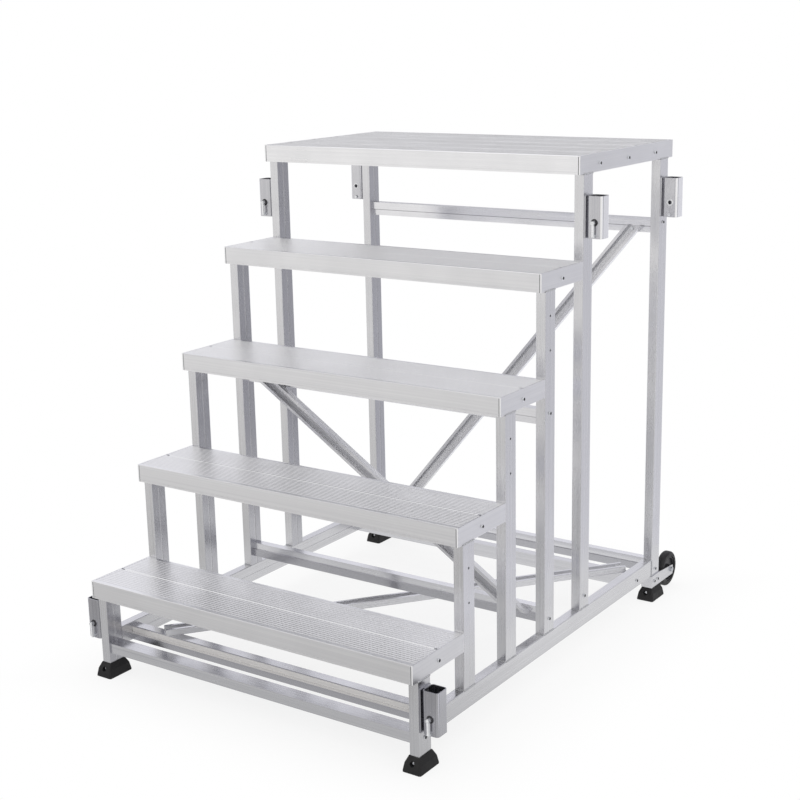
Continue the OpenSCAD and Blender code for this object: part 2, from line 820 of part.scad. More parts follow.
module rivets() {
    frame_rivets = concat(post_rivets_1, post_rivets_4, post_rivets_5, rear_leg_rivets, rail_rivets);
    in_place() color(zinc_steel) for (side = [left, right]) on_side(side) {
        for (p = frame_rivets) translate([half_w, p[0], p[1]]) rivet(post_wall);
        for (i = [0 : tread_count], y = cap_rivets(i))
            translate([half_w, y, top_z(i) - cap_rivet_drop]) rivet(cap_t);
        for (s = [fork_rivet_share, 1 - fork_rivet_share])
            translate([half_w - post_w / 2, rear_y + post_d * s, axle_z]) for (turn = [0, 1])
                mirror([turn, 0, 0]) translate([post_w / 2 + fork_t, 0, 0]) rivet(fork_t + post_wall);
        for (y = [post_y(first_level), rear_y])
            translate([half_w - post_w / 2, y - foot_face_t, foot_rivet_z])
                rotate([0, 0, -90]) rivet(foot_face_t + post_wall);
    }
}

// Countersunk screws that hold the sockets, from the inside of the tube into the upright
module socket_screws() {
    length = socket_base_t + socket_neck_d + post_wall;
    in_place() color(zinc_steel) for (side = [left, right]) on_side(side)
        for (p = socket_places, z = screw_heights(p[1]))
            translate([half_w - post_wall, p[0], z]) {
                x_cylinder(length, screw_d);
                translate([length, 0, 0]) x_cylinder(socket_wall, screw_head_d);
            }
}

// Hexagon bolt that points up, its head above the origin
module hex_bolt(grip) {
    translate([0, 0, -grip]) cylinder(h = grip, d = bolt_d);
    cylinder(h = bolt_head_h, d = bolt_head_d, $fn = 6);
}

// Bolts at the ends of the braces, and the stop bolts near the lower ends of the sockets
module hex_bolts() {
    grip = brace_t + cross_wall;
    in_place() color(zinc_steel) {
        for (e = middle_brace_ends)
            translate([e[0], middle_y + cross_step - brace_t, e[1]]) rotate([90, 0, 0]) hex_bolt(grip);
        for (e = rear_brace_ends)
            translate([e[0], rear_cross_y + cross_step - brace_t, e[1]]) rotate([90, 0, 0]) hex_bolt(grip);
        for (e = floor_brace_ends) translate([e[0], e[1], base_cross_top + brace_t]) hex_bolt(grip);
        for (side = [left, right], p = socket_places) on_side(side)
            translate([socket_x, p[0] - socket_half, p[1] + stop_lift]) rotate([90, 0, 0])
                hex_bolt(socket_w);
    }
}

base_rail(left);  // base_rail_left
base_rail(right);  // base_rail_right
front_leg(left);  // front_leg_left
front_leg(right);  // front_leg_right
post_2(left);  // post_2_left
post_2(right);  // post_2_right
post_3(left);  // post_3_left
post_3(right);  // post_3_right
post_4(left);  // post_4_left
post_4(right);  // post_4_right
post_5(left);  // post_5_left
post_5(right);  // post_5_right
rear_leg(left);  // rear_leg_left
rear_leg(right);  // rear_leg_right
planks(first_level, tread_planks);  // tread_1_planks
planks(second_level, tread_planks);  // tread_2_planks
planks(third_level, tread_planks);  // tread_3_planks
planks(fourth_level, tread_planks);  // tread_4_planks
planks(tread_count, platform_planks_count);  // platform_planks
end_caps(first_level);  // tread_1_end_caps
end_caps(second_level);  // tread_2_end_caps
end_caps(third_level);  // tread_3_end_caps
end_caps(fourth_level);  // tread_4_end_caps
end_caps(tread_count);  // platform_end_caps
front_low_rail();
front_base_rail();
middle_low_rail();
middle_high_rail();
rear_high_rail();
rear_low_rail();
rear_base_rail();
middle_brace();
rear_brace();
floor_brace();
foot(left, post_y(first_level));  // foot_front_left
foot(right, post_y(first_level));  // foot_front_right
foot(left, rear_y);  // foot_rear_left
foot(right, rear_y);  // foot_rear_right
socket(left, front_socket_y, front_socket_z);  // socket_front_left
socket(right, front_socket_y, front_socket_z);  // socket_front_right
socket(left, top_socket_y, top_socket_z);  // socket_top_left
socket(right, top_socket_y, top_socket_z);  // socket_top_right
socket(left, rear_socket_y, rear_socket_z);  // socket_rear_left
socket(right, rear_socket_y, rear_socket_z);  // socket_rear_right
locking_pins();
nose_pivots();
nose(pin_places[0]);  // nose_front_left
nose(pin_places[1]);  // nose_front_right
nose(pin_places[2]);  // nose_top_left
nose(pin_places[3]);  // nose_top_right
wheel_forks();
wheel_axles();
wheel_hub(left);  // wheel_hub_left
wheel_hub(right);  // wheel_hub_right
wheel_tyre(left);  // wheel_tyre_left
wheel_tyre(right);  // wheel_tyre_right
rivets();
socket_screws();
hex_bolts();
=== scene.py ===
"""Looks of the aluminium step platform: finishes for its solids, small trim, light and camera.

It is laid out as an add-on and run as a script. Lengths are in metres, in the solids' own frame.
"""

from math import radians

import bpy
from mathutils import Matrix, Vector


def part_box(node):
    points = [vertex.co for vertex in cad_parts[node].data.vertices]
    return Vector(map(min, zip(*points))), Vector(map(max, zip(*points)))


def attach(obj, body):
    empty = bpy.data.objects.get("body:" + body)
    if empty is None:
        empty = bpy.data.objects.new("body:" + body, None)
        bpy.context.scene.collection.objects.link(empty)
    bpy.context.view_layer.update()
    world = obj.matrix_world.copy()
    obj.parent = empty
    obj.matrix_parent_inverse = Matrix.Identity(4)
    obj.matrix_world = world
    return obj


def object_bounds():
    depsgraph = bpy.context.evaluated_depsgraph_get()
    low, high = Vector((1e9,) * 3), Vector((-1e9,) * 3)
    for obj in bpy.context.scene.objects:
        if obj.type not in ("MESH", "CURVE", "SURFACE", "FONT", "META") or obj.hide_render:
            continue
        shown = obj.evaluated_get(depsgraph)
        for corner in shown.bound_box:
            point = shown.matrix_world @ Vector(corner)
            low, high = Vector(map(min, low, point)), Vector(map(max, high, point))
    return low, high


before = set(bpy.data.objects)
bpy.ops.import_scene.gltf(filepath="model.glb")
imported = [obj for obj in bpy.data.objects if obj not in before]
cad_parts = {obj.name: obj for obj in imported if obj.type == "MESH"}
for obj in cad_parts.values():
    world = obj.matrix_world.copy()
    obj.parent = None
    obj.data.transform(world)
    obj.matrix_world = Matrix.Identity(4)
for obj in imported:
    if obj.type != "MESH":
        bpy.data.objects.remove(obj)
CAD_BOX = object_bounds()

bl_info = {
    "name": "Step platform looks",
    "version": (1, 0, 0),
    "blender": (4, 5, 0),
    "location": "3D View > Sidebar > Platform",
    "description": "Finishes, weld beads, studio light and camera for an aluminium step platform",
    "category": "Object",
}

MM = 0.001
SIDES = ("left", "right")
FRAME_BODY = "frame"
SHADOW_SHARE = 0.18  # share of the floor's look that comes from its shading
PIN_LIFT = 46 * MM  # height of a pin hole above the lower end of its socket
EYE_D = 4 * MM  # width of the eye in a rivet head
EYE_DEPTH = 1.5 * MM  # depth of that eye
STUB_RISE = 0.2 * MM  # how far a mandrel stub stands out of its rivet head
TOUCH = 0.1 * MM  # sizes and places this close are taken as equal
GROOVE_DEPTH = 1 * MM  # depth of the grooves in a plank's top
NOSE_BORDER = 12 * MM  # plain strip from a tread's edge to its first groove
JOINT_CHAMFER = 2.5 * MM  # chamfer where two planks meet
RAIL_STEP = 21 * MM  # height of the band that stands back on a stepped cross rail
BRACE_WALL = 2.5 * MM  # wall of a brace's channel
SOCKET_CORNER = 6 * MM  # width of the painted highlight on a socket's rounded corner
MARK = 2.5 * MM  # width of a painted shadow line where two pieces meet
SHADOW_LINE_TONE = "#77777B"  # tone of such a painted shadow line
SHADOW_LINE_SHARE = 0.6  # how much of the metal's mirror look is left in it
FACE = 0.3 * MM  # reach of a mark on either side of a flat face
TREAD_PLANKS = 2  # planks side by side on a tread
PLATFORM_PLANKS = 5  # planks side by side on the platform
FADE_MARGINS = 1.5  # width of the floor's fade to white, in floor margins
MIRRORED_FLOOR = (0.57, 0.88)  # brightness of the floor in the metal, at the front and farther back
SENSOR_WIDTH = 36.0  # width in millimetres of the picture that the focal length is given for

UPRIGHTS = [f"post_{i}_{side}" for i in range(2, 6) for side in SIDES]
LEGS = [f"{end}_leg_{side}" for end in ("front", "rear") for side in SIDES]
STANDING = UPRIGHTS + LEGS
BASE_RAILS = [f"base_rail_{side}" for side in SIDES]
LEVELS = [f"tread_{i}" for i in range(1, 5)] + ["platform"]
STEPPED_RAILS = ["middle_low_rail", "middle_high_rail", "rear_high_rail", "rear_low_rail"]
PLAIN_RAILS = ["front_low_rail", "front_base_rail", "rear_base_rail"]
SOCKETS = [f"socket_{spot}_{side}" for spot in ("front", "top", "rear") for side in SIDES]
NOSES = [f"nose_{spot}_{side}" for spot in ("front", "top") for side in SIDES]
FEET = [f"foot_{spot}_{side}" for spot in ("front", "rear") for side in SIDES]

ALONG_X, ALONG_Y, ALONG_Z = Vector((1, 0, 0)), Vector((0, 1, 0)), Vector((0, 0, 1))


# Small helpers

def linear(hex_colour):
    """Linear RGBA of an sRGB hex colour."""
    parts = [int(hex_colour[i:i + 2], 16) / 255 for i in (1, 3, 5)]
    return tuple(c / 12.92 if c <= 0.04045 else ((c + 0.055) / 1.055) ** 2.4 for c in parts) + (1.0,)


def add(tree, kind, links=None, values=None, **options):
    """Adds a node with its settings, its input values and its incoming links."""
    node = tree.nodes.new(kind)
    for key, value in options.items():
        setattr(node, key, value)
    for key, value in (values or {}).items():
        node.inputs[key].default_value = value
    for key, socket in (links or {}).items():
        tree.links.new(socket, node.inputs[key])
    return node


def new_material(name):
    """An empty material's node tree with its shader and Object coordinates."""
    material = bpy.data.materials.new(name)
    material.use_nodes = True
    tree = material.node_tree
    tree.nodes.clear()
    output = add(tree, "ShaderNodeOutputMaterial")
    shader = add(tree, "ShaderNodeBsdfPrincipled")
    tree.links.new(shader.outputs["BSDF"], output.inputs["Surface"])
    coords = add(tree, "ShaderNodeTexCoord").outputs["Object"]
    return material, tree, shader, coords


def paint(nodes, material):
    """Gives the CAD nodes of these names one material."""
    for name in nodes:
        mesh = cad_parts[name].data
        mesh.materials.clear()
        mesh.materials.append(material)


def place(piece, name):
    """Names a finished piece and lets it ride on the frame."""
    piece.name = name
    piece.data.name = name
    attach(piece, FRAME_BODY)


def settings():
    """The user's settings of this scene."""
    return bpy.context.scene.step_platform


# Materials

def inside(tree, coords, ranges):
    """1 in the box that the ranges of some axes enclose, and 0 outside it."""
    axes = add(tree, "ShaderNodeSeparateXYZ", {"Vector": coords}).outputs
    level = None
    for axis, (low, high) in ranges.items():
        part = add(tree, "ShaderNodeMath", {0: axes[axis]},
                   {1: (low + high) / 2, 2: (high - low) / 2}, operation="COMPARE").outputs[0]
        level = part if level is None else add(tree, "ShaderNodeMath", {0: level, 1: part},
                                               operation="MULTIPLY").outputs[0]
    return level


def extruded_aluminium(name, direction, light, dark, gloss, marks=()):
    """Bare extruded aluminium: a bright metal with fine die lines along the way it was pressed.

    The eye sees soft mirror images drawn out along the tube, and faint lengthwise streaks. The gloss
    is the least and the greatest roughness. A mark is a box where the metal has another tone, that
    tone, and how much of its mirror look is left there. The marks here are painted light and shade:
    painted highlights, painted shade and painted shadow lines.
    """
    props = settings()
    material, tree, shader, coords = new_material(name)
    turn = ALONG_X.rotation_difference(direction).to_euler()
    width = props.die_line_width
    streaks = add(tree, "ShaderNodeMapping", {"Vector": coords},
                  {"Rotation": turn, "Scale": (props.die_line_length, width, width)},
                  vector_type="TEXTURE").outputs["Vector"]
    lines = add(tree, "ShaderNodeTexNoise", {"Vector": streaks},
                {"Scale": 1.0, "Detail": 4.0, "Roughness": 0.6}).outputs["Fac"]
    # Handling leaves cloudy patches about a hand wide, which only change the gloss
    clouds = add(tree, "ShaderNodeTexNoise", {"Vector": coords},
                 {"Scale": 1 / props.cloud_size, "Detail": 3.0}).outputs["Fac"]
    ramp = add(tree, "ShaderNodeValToRGB", {"Fac": lines})
    for element, position, tone in zip(ramp.color_ramp.elements, (0.3, 0.7), (dark, light)):
        element.position, element.color = position, tone
    mixed = add(tree, "ShaderNodeMath", {0: lines, 1: clouds}, operation="MULTIPLY").outputs[0]
    rough = add(tree, "ShaderNodeMapRange", {"Value": mixed},
                {"From Min": 0.12, "From Max": 0.42, "To Min": gloss[0], "To Max": gloss[1]})
    bump = add(tree, "ShaderNodeBump", {"Height": lines}, {"Strength": 0.12, "Distance": 0.2 * MM})
    # Each mark lies over those before it, so the chain is built from the shader back
    colour, metal = shader.inputs["Base Color"], shader.inputs["Metallic"]
    metal.default_value = 1.0
    for ranges, tone, share in reversed(marks):
        level = inside(tree, coords, ranges)
        mixer = add(tree, "ShaderNodeMix", {0: level}, {7: tone}, data_type="RGBA")
        tree.links.new(mixer.outputs[2], colour)
        colour = mixer.inputs[6]
        fade = add(tree, "ShaderNodeMapRange", {"Value": level}, {"To Min": 1.0, "To Max": share})
        tree.links.new(fade.outputs["Result"], metal)
        metal = fade.inputs["To Min"]
    tree.links.new(ramp.outputs["Color"], colour)
    tree.links.new(rough.outputs["Result"], shader.inputs["Roughness"])
    tree.links.new(bump.outputs["Normal"], shader.inputs["Normal"])
    return material


def welded_aluminium():
    """Aluminium weld metal: bright, a little frosty, with grains of about a millimetre."""
    material, tree, shader, coords = new_material("weld_bead_aluminium")
    grain = add(tree, "ShaderNodeTexNoise", {"Vector": coords},
                {"Scale": 1 / (2.0 * MM), "Detail": 2.0}).outputs["Fac"]
    ramp = add(tree, "ShaderNodeValToRGB", {"Fac": grain})
    for element, position, tone in zip(ramp.color_ramp.elements, (0.3, 0.7), ("#B4B5B9", "#D8D9DB")):
        element.position, element.color = position, linear(tone)
    bump = add(tree, "ShaderNodeBump", {"Height": grain}, {"Strength": 0.25, "Distance": 0.3 * MM})
    shader.inputs["Metallic"].default_value = 1.0
    shader.inputs["Roughness"].default_value = 0.42
    tree.links.new(ramp.outputs["Color"], shader.inputs["Base Color"])
    tree.links.new(bump.outputs["Normal"], shader.inputs["Normal"])
    return material


def moulded(name, light, dark, gloss, grain_size, depth):
    """Moulded rubber or plastic: a dark dull skin with a fine grain from the mould.

    The gloss is the least and the greatest roughness.
    """
    material, tree, shader, coords = new_material(name)
    grain = add(tree, "ShaderNodeTexNoise", {"Vector": coords},
                {"Scale": 1 / grain_size, "Detail": 3.0, "Roughness": 0.6}).outputs["Fac"]
    dust = add(tree, "ShaderNodeTexNoise", {"Vector": coords},
               {"Scale": 1 / (18 * MM), "Detail": 4.0}).outputs["Fac"]
    ramp = add(tree, "ShaderNodeValToRGB", {"Fac": dust})
    for element, position, tone in zip(ramp.color_ramp.elements, (0.35, 0.75), (dark, light)):
        element.position, element.color = position, tone
    rough = add(tree, "ShaderNodeMapRange", {"Value": dust},
                {"From Min": 0.3, "From Max": 0.7, "To Min": gloss[0], "To Max": gloss[1]})
    bump = add(tree, "ShaderNodeBump", {"Height": grain}, {"Strength": 0.3, "Distance": depth})
    tree.links.new(ramp.outputs["Color"], shader.inputs["Base Color"])
    tree.links.new(rough.outputs["Result"], shader.inputs["Roughness"])
    tree.links.new(bump.outputs["Normal"], shader.inputs["Normal"])
    return material


def zinc_plated_steel(name, light, dark, share=1.0):
    """Zinc-plated steel: a cool grey metal, patchy in gloss where the plating crystals differ.

    The share is how much of its mirror look is left: a thick, frosty plating scatters the light.
    """
    material, tree, shader, coords = new_material(name)
    crystals = add(tree, "ShaderNodeTexVoronoi", {"Vector": coords}, {"Scale": 1 / (3 * MM)})
    ramp = add(tree, "ShaderNodeValToRGB", {"Fac": crystals.outputs["Distance"]})
    for element, tone in zip(ramp.color_ramp.elements, (light, dark)):
        element.color = tone
    rough = add(tree, "ShaderNodeMapRange", {"Value": crystals.outputs["Distance"]},
                {"From Min": 0.0, "From Max": 0.8, "To Min": 0.2, "To Max": 0.4})
    shader.inputs["Metallic"].default_value = share
    tree.links.new(ramp.outputs["Color"], shader.inputs["Base Color"])
    tree.links.new(rough.outputs["Result"], shader.inputs["Roughness"])
    return material


# Repeated trim: Geometry Nodes trees that grow it on edges and points

def repeat_tree(name, *sizes):
    """A tree that takes a mesh and named sizes, and the sockets of its inputs."""
    tree = bpy.data.node_groups.new(name, "GeometryNodeTree")
    tree.interface.new_socket("Geometry", in_out="INPUT", socket_type="NodeSocketGeometry")
    for size in sizes:
        tree.interface.new_socket(size, in_out="INPUT", socket_type="NodeSocketFloat")
    tree.interface.new_socket("Geometry", in_out="OUTPUT", socket_type="NodeSocketGeometry")
    return tree, add(tree, "NodeGroupInput").outputs


def finish_tree(tree, instances, material):
    """Ends a tree: the instances become one mesh of one material."""
    real = add(tree, "GeometryNodeRealizeInstances", {"Geometry": instances})
    painted = add(tree, "GeometryNodeSetMaterial", {"Geometry": real.outputs["Geometry"]},
                  {"Material": material})
    add(tree, "NodeGroupOutput", {"Geometry": painted.outputs["Geometry"]})
    return tree


def bead_tree(material):
    """Tree that turns every edge of a mesh into a row of overlapping weld ripples."""
    tree, given = repeat_tree("weld_bead", "Bead radius", "Ripple pitch")
    path = add(tree, "GeometryNodeMeshToCurve", {"Mesh": given["Geometry"]})
    points = add(tree, "GeometryNodeCurveToPoints",
                 {"Curve": path.outputs["Curve"], "Length": given["Ripple pitch"]}, mode="LENGTH")
    ripple = add(tree, "GeometryNodeMeshUVSphere", {"Radius": given["Bead radius"]},
                 {"Segments": 10, "Rings": 6})
    smooth = add(tree, "GeometryNodeSetShadeSmooth", {"Geometry": ripple.outputs["Mesh"]})
    rows = add(tree, "GeometryNodeInstanceOnPoints",
               {"Points": points.outputs["Points"], "Instance": smooth.outputs["Geometry"],
                "Rotation": points.outputs["Rotation"]}, {"Scale": (1.0, 1.0, 0.6)})
    return finish_tree(tree, rows.outputs["Instances"], material)


def eyelet_tree(material):
    """Tree that sets a flat rolled ring on every point of a mesh, its hole towards the front."""
    tree, given = repeat_tree("eyelet", "Ring radius", "Roll radius")
    ring = add(tree, "GeometryNodeCurvePrimitiveCircle", {"Radius": given["Ring radius"]},
               {"Resolution": 36})
    roll = add(tree, "GeometryNodeCurvePrimitiveCircle", {"Radius": given["Roll radius"]},
               {"Resolution": 12})
    body = add(tree, "GeometryNodeCurveToMesh",
               {"Curve": ring.outputs["Curve"], "Profile Curve": roll.outputs["Curve"]})
    smooth = add(tree, "GeometryNodeSetShadeSmooth", {"Geometry": body.outputs["Mesh"]})
    turned = add(tree, "GeometryNodeTransform", {"Geometry": smooth.outputs["Geometry"]},
                 {"Rotation": (radians(90), 0, 0), "Scale": (1.0, 1.0, 0.6)})
    rings = add(tree, "GeometryNodeInstanceOnPoints",
                {"Points": given["Geometry"], "Instance": turned.outputs["Geometry"]})
    return finish_tree(tree, rings.outputs["Instances"], material)


def stub_tree(material):
    """Tree that turns every edge of a mesh into a short round stub."""
    tree, given = repeat_tree("stub", "Stub radius")
    path = add(tree, "GeometryNodeMeshToCurve", {"Mesh": given["Geometry"]})
    round_end = add(tree, "GeometryNodeCurvePrimitiveCircle", {"Radius": given["Stub radius"]},
                    {"Resolution": 16})
    stubs = add(tree, "GeometryNodeCurveToMesh",
                {"Curve": path.outputs["Curve"], "Profile Curve": round_end.outputs["Curve"]},
                {"Fill Caps": True})
    return finish_tree(tree, stubs.outputs["Mesh"], material)


def grown(mesh, tree, **sizes):
    """The plain mesh that a tree makes from a mesh, with the tree's inputs set by name."""
    seed = bpy.data.objects.new("seed", mesh)
    bpy.context.scene.collection.objects.link(seed)
    modifier = seed.modifiers.new("grow", "NODES")
    modifier.node_group = tree
    inputs = {item.name: item.identifier for item in tree.interface.items_tree
              if item.in_out == "INPUT"}
    for name, value in sizes.items():
        modifier[inputs[name.replace("_", " ").capitalize()]] = value
    graph = bpy.context.evaluated_depsgraph_get()
    result = bpy.data.meshes.new_from_object(seed.evaluated_get(graph))
    seed.modifiers.clear()
    seed.data = result
    bpy.data.meshes.remove(mesh)
    return seed


def welded_edges():
    """Ends of the welded edges, two by two, from the boxes of the pieces that meet there."""
    ends = []
    margin = settings().bead_radius

    def around(low, high, z, outer):
        """Goes round an upright's end on the three sides away from the other frame."""
        near, far = (low.x, high.x) if outer > 0 else (high.x, low.x)
        step = margin if outer > 0 else -margin
        for y in (low.y, high.y):
            ends.extend((Vector((near + step, y, z)), Vector((far - step, y, z))))
        ends.extend((Vector((far, low.y + margin, z)), Vector((far, high.y - margin, z))))

    for name in STANDING:
        low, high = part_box(name)
        outer = 1 if name.endswith("right") else -1
        around(low, high, high.z, outer)
        if name in UPRIGHTS:
            around(low, high, low.z, outer)
    for name in BASE_RAILS:
        low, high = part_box(name)
        far = high.x if name.endswith("right") else low.x
        for y in (low.y, high.y):
            ends.extend((Vector((far, y, low.z + margin)), Vector((far, y, high.z - margin))))
            for z in (low.z, high.z):
                ends.extend((Vector((low.x + margin, y, z)), Vector((high.x - margin, y, z))))
    return ends


def pin_hole_mouths(empty):
    """Middles of the mouths of the pin holes: both of an empty hole, the front one of the others."""
    mouths = []
    for name in SOCKETS:
        low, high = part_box(name)
        half = (high.y - low.y) / 2
        x = high.x - half if name.endswith("right") else low.x + half
        if ("rear" in name) == empty:
            for y in (low.y, high.y) if empty else (low.y,):
                mouths.append(Vector((x, y, low.z + PIN_LIFT)))
    return mouths


def shells(mesh):
    """Vertices of each separate shell of a mesh."""
    group = list(range(len(mesh.vertices)))

    def root(i):
        """The vertex that stands for the shell of a vertex."""
        while group[i] != i:
            group[i] = group[group[i]]
            i = group[i]
        return i

    for edge in mesh.edges:
        first, second = edge.vertices
        group[root(first)] = root(second)
    found = {}
    for vertex in mesh.vertices:
        found.setdefault(root(vertex.index), []).append(vertex)
    return found.values()


def rivet_eyes():
    """Ends, two by two, of lines out through the eyes of the rivet heads at the sides."""
    ends = []
    for shell in shells(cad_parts["rivets"].data):
        spots = [vertex.co for vertex in shell]
        low, high = (Vector([pick(spot[i] for spot in spots) for i in range(3)])
                     for pick in (min, max))
        flat = high.x - low.x < TOUCH
        if flat and abs(max(high - low) - EYE_D) < TOUCH:
            floor = (low + high) / 2
            ends.extend((floor, floor + shell[0].normal * (EYE_DEPTH + STUB_RISE)))
    return ends


def trim_mesh(name, points, paired=False):
    """Plain mesh of points, or of edges between each two of them, for a tree to grow on."""
    edges = [(i, i + 1) for i in range(0, len(points), 2)] if paired else []
    mesh = bpy.data.meshes.new(name)
    mesh.from_pydata(points, edges, [])
    return mesh


# Settings

def colour_property(name, description, tone):
    """Property for a colour that a user would change."""
    return bpy.props.FloatVectorProperty(name=name, description=description, default=linear(tone),
                                         size=4, min=0.0, max=1.0, subtype="COLOR")


class StepPlatformSettings(bpy.types.PropertyGroup):
    """Sizes and colours that a user would change"""
    frame_light: colour_property("Frame, light", "Light tone of the side frames' tube", "#DFDFE2")
    frame_dark: colour_property("Frame, dark", "Dark tone of the side frames' tube", "#D2D2D5")
    plank_light: colour_property("Planks, light", "Light tone of the planks' sides", "#EDEDEF")
    plank_dark: colour_property("Planks, dark", "Dark tone of the planks' sides", "#E2E2E5")
    zinc_light: colour_property("Zinc, light", "Light tone of rivets, screws and bolts", "#F4F5F7")
    zinc_dark: colour_property("Zinc, dark", "Dark tone of rivets, screws and bolts", "#DCDFE4")
    rubber_light: colour_property("Rubber, light", "Light tone of the feet", "#151417")
    rubber_dark: colour_property("Rubber, dark", "Dark tone of the feet", "#0B0A0C")
    hub_light: colour_property("Hubs, light", "Light tone of the wheel hubs", "#38373B")
    hub_dark: colour_property("Hubs, dark", "Dark tone of the wheel hubs", "#27262A")
    floor_colour: colour_property("Floor", "Colour of the floor", "#F2F2F2")
    die_line_width: bpy.props.FloatProperty(
        name="Die line width",
        description="Width of a streak left by the extrusion die, drawn coarse",
        default=5 * MM, unit="LENGTH")
    die_line_length: bpy.props.FloatProperty(
        name="Die line length", description="Length over which a streak fades",
        default=0.9, unit="LENGTH")
    cloud_size: bpy.props.FloatProperty(
        name="Cloud size", description="Size of the patches where handling dulled the metal",
        default=0.11, unit="LENGTH")
    bead_radius: bpy.props.FloatProperty(
        name="Bead radius", description="Half the width of a weld bead",
        default=2.6 * MM, unit="LENGTH")
    ripple_pitch: bpy.props.FloatProperty(
        name="Ripple pitch", description="Distance from one ripple of a weld bead to the next",
        default=2.2 * MM, unit="LENGTH")
    ring_radius: bpy.props.FloatProperty(
        name="Eyelet radius", description="Radius of the rolled ring round a pin hole",
        default=8.5 * MM, unit="LENGTH")
    roll_radius: bpy.props.FloatProperty(
        name="Eyelet roll", description="Half the width of the rolled ring", default=2.4 * MM,
        unit="LENGTH")
    # The stubs are wider than a real mandrel, so their dark also paints the shade in the eyes
    mandrel_radius: bpy.props.FloatProperty(
        name="Mandrel radius", description="Half the width of the dark stub in a rivet head",
        default=4.3 * MM, unit="LENGTH")
    floor_margin: bpy.props.FloatProperty(
        name="Floor margin", description="How far the floor reaches past the object on each side",
        default=0.3, unit="LENGTH")
    fill_level: bpy.props.FloatProperty(
        name="Fill", description="Level of the even light from all round", default=0.95,
        min=0.0, max=1.0, subtype="FACTOR")
    key_power: bpy.props.FloatProperty(
        name="Key light", description="Power of the large lamp at the right", default=8.0,
        unit="POWER")
    top_power: bpy.props.FloatProperty(
        name="Top light", description="Power of the large lamp overhead", default=17.0, unit="POWER")
    lens: bpy.props.FloatProperty(
        name="Lens", description="Focal length on a 36 mm wide picture", default=66.73,
        unit="CAMERA")
    camera_place: bpy.props.FloatVectorProperty(
        name="Camera", description="Place of the camera", default=(2.5175, -3.6566, 1.8725),
        subtype="XYZ", unit="LENGTH")
    camera_yaw: bpy.props.FloatProperty(
        name="Yaw", description="Turn of the camera to the left", default=radians(34.6612),
        unit="ROTATION")
    camera_pitch: bpy.props.FloatProperty(
        name="Pitch", description="Tilt of the camera below the horizon", default=radians(14.217),
        unit="ROTATION")
    camera_roll: bpy.props.FloatProperty(
        name="Roll", description="Turn of the picture about its middle", default=radians(-1.2261),
        unit="ROTATION")


# Pieces

class PLATFORM_OT_side_frames(bpy.types.Operator):
    """Finishes the uprights, legs and base rails"""
    bl_idname = "platform.side_frames"
    bl_label = "Side frames"

    def execute(self, context):
        props = settings()
        # Painted shade: the faces between the two frames are darker, as in the shadow of the treads
        # above
        inner = (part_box("post_2_left")[1].x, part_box("post_2_right")[0].x)
        marks = [({"X": (x - FACE, x + FACE)}, linear("#C4C4C9"), 1.0) for x in inner]
        # A painted shadow line parts each upright from the level it carries
        for name in STANDING:
            if name.endswith("right"):
                low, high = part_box(name)
                marks.append(({"Y": (low.y - MARK, high.y + MARK), "Z": (high.z - MARK, high.z)},
                              linear(SHADOW_LINE_TONE), SHADOW_LINE_SHARE))
        tones, gloss = (props.frame_light, props.frame_dark), (0.2, 0.34)
        paint(STANDING,
              extruded_aluminium("extruded_aluminium_upright", ALONG_Z, *tones, gloss, marks))
        paint(BASE_RAILS, extruded_aluminium("extruded_aluminium_rail", ALONG_Y, *tones, gloss))
        return {"FINISHED"}


class PLATFORM_OT_treads(bpy.types.Operator):
    """Finishes the ribbed planks and the caps on their ends"""
    bl_idname = "platform.treads"
    bl_label = "Treads"

    def execute(self, context):
        props = settings()
        for level in LEVELS:
            planks, caps = f"{level}_planks", f"{level}_end_caps"
            # Feet dull the treads more than the platform
            gloss = (0.16, 0.28) if level == "platform" else (0.3, 0.42)
            paint([planks],
                  extruded_aluminium(f"extruded_aluminium_{planks}", ALONG_X, props.plank_light,
                                     props.plank_dark, gloss, self.plank_marks(planks)))
            # Painted highlight: the cut edges of a cap are matt and bright
            cut_highlight = [({"Y": (corner.y - FACE, corner.y + FACE)}, linear("#F7F7F8"), 0.4)
                   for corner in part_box(caps)]
            paint([caps],
                  extruded_aluminium(f"extruded_aluminium_{caps}", ALONG_Y, linear("#EEEEF0"),
                                     linear("#E3E3E6"), (0.32, 0.45), cut_highlight))
        return {"FINISHED"}

    def plank_marks(self, planks):
        """Painted light on the treads' tops, painted shade in the grooves,
        painted highlights on the chamfers between planks and painted shadow lines at the caps.
        """
        low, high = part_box(planks)
        platform = planks.startswith("platform")
        count = PLATFORM_PLANKS if platform else TREAD_PLANKS
        groove_shade_tone, chamfer_highlight_share = ("#D8D8DC", 0.75) if platform else ("#E6E6E9", 0.35)
        ribbed = (low.y + NOSE_BORDER, high.y - NOSE_BORDER)
        # The floors of the grooves lie between these heights, and the ribs' tops above them
        groove = (high.z - 1.4 * GROOVE_DEPTH, high.z - 0.6 * GROOVE_DEPTH)
        # Painted shade on the grooves' floors, darker on the platform
        marks = [({"Z": groove, "Y": ribbed}, linear(groove_shade_tone), 1.0)]
        # Painted light on the tops of a tread's ribs and border strips
        if not platform:
            marks.insert(0, ({"Z": (groove[1], high.z + TOUCH)}, linear("#F6F6F8"), 1.0))
        # Painted highlights on the chamfers where two planks meet
        reach = 1.1 * JOINT_CHAMFER
        for k in range(1, count):
            y = low.y + (high.y - low.y) * k / count
            marks.append(({"Y": (y - reach, y + reach), "Z": (high.z - reach, high.z)},
                          linear("#F7F7F8"), chamfer_highlight_share))
        # Painted shadow lines where the planks' ends meet the caps
        for x in (low.x, high.x - MARK):
            marks.append(({"X": (x, x + MARK), "Z": (low.z, high.z - MARK)},
                          linear(SHADOW_LINE_TONE), SHADOW_LINE_SHARE))
        return marks


